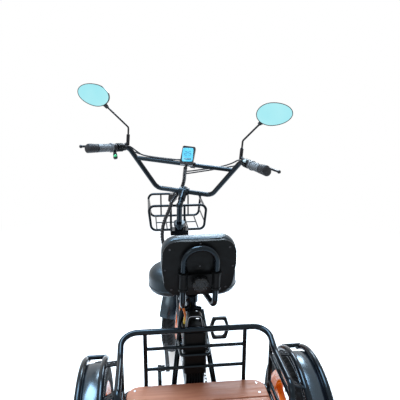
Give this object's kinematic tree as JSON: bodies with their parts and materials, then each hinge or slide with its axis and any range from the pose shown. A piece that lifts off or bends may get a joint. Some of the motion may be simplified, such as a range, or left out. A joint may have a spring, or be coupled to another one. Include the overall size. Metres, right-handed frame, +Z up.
{
  "type": "electric tricycle",
  "caption": "Electric cargo tricycle with a padded seat and backrest, high handlebar with mirrors and meter, front basket, and a rear tube rack with wooden planks between guarded wheels.",
  "frame": {"origin": "on the ground in the middle of the whole length and width", "axes": "+X to the rider's right, +Y forward, +Z up"},
  "size_m": [0.8827, 1.5441, 1.3734],
  "materials": {
    "frame_paint": "gloss",
    "fender_black": "gloss",
    "wheel_orange": "gloss",
    "tyre_rubber": "matte",
    "seat_vinyl": "satin",
    "black_plastic": "satin",
    "gloss_plastic": "gloss",
    "grip_rubber": "matte",
    "orange_lead": "satin",
    "black_metal": "satin",
    "chain_steel": "satin",
    "plank_wood": "satin",
    "mirror_glass": "gloss"
  },
  "bodies": {
    "frame": {"main_frame": "frame_paint", "rear_axle_housing": "frame_paint", "battery_pack": "black_plastic", "battery_handle": "black_plastic", "seat_post": "frame_paint", "saddle": "seat_vinyl", "backrest_shell": "black_plastic", "backrest_pad": "seat_vinyl", "backrest_hoop": "frame_paint", "backrest_clamp": "black_plastic", "clamp_knob": "black_plastic", "cargo_rack": "frame_paint", "cargo_planks": "plank_wood", "front_basket": "frame_paint", "chain": "chain_steel", "lower_loom": "grip_rubber", "power_lead": "orange_lead", "left_guard": "frame_paint", "right_guard": "frame_paint", "left_rear_fender": "fender_black", "right_rear_fender": "fender_black"},
    "steering": {"fork": "frame_paint", "stem": "frame_paint", "handlebar": "frame_paint", "display": "gloss_plastic", "headlamp": "black_plastic", "front_fender": "fender_black", "upper_loom": "grip_rubber", "left_brake_cable": "grip_rubber", "left_switch_cable": "grip_rubber", "right_brake_cable": "grip_rubber", "right_switch_cable": "grip_rubber", "left_grip": "grip_rubber", "left_brake_lever": "black_metal", "left_switch": "black_plastic", "left_mirror_stem": "black_metal", "left_mirror_shell": "black_plastic", "left_mirror_glass": "mirror_glass", "right_grip": "grip_rubber", "right_brake_lever": "black_metal", "right_switch": "black_plastic", "right_mirror_stem": "black_metal", "right_mirror_shell": "black_plastic", "right_mirror_glass": "mirror_glass"},
    "front_wheel": {"front_rim": "wheel_orange", "front_tyre": "tyre_rubber"},
    "left_rear_wheel": {"left_rear_rim": "wheel_orange", "left_rear_tyre": "tyre_rubber"},
    "right_rear_wheel": {"right_rear_rim": "wheel_orange", "right_rear_tyre": "tyre_rubber"},
    "crank": {"crankset": "black_metal"},
    "left_pedal": {"left_pedal": "black_plastic"},
    "right_pedal": {"right_pedal": "black_plastic"}
  },
  "joints": [
    {"name": "steering", "type": "hinge", "parent": "frame", "child": "steering", "pos_m": [0, 0.48872, 0.257], "axis": [0, -0.2756, 0.9613], "range_deg": [-26.3, 63.7]},
    {"name": "front_wheel", "type": "hinge", "parent": "steering", "child": "front_wheel", "pos_m": [0.01282, 0.52514, 0.26744], "axis": [0.9472, -0.3082, -0.0884], "continuous": true},
    {"name": "left_rear_wheel", "type": "hinge", "parent": "frame", "child": "left_rear_wheel", "pos_m": [-0.313, -0.43967, 0.257], "axis": [1, 0, 0], "continuous": true},
    {"name": "right_rear_wheel", "type": "hinge", "parent": "frame", "child": "right_rear_wheel", "pos_m": [0.313, -0.43967, 0.257], "axis": [1, 0, 0], "continuous": true},
    {"name": "crank", "type": "hinge", "parent": "frame", "child": "crank", "pos_m": [0, -0.04967, 0.352], "axis": [1, 0, 0], "continuous": true},
    {"name": "left_pedal", "type": "hinge", "parent": "crank", "child": "left_pedal", "pos_m": [-0.1, -0.19454, 0.35833], "axis": [1, 0, 0], "continuous": true},
    {"name": "right_pedal", "type": "hinge", "parent": "crank", "child": "right_pedal", "pos_m": [0.1, 0.09519, 0.34568], "axis": [1, 0, 0], "continuous": true}
  ]
}
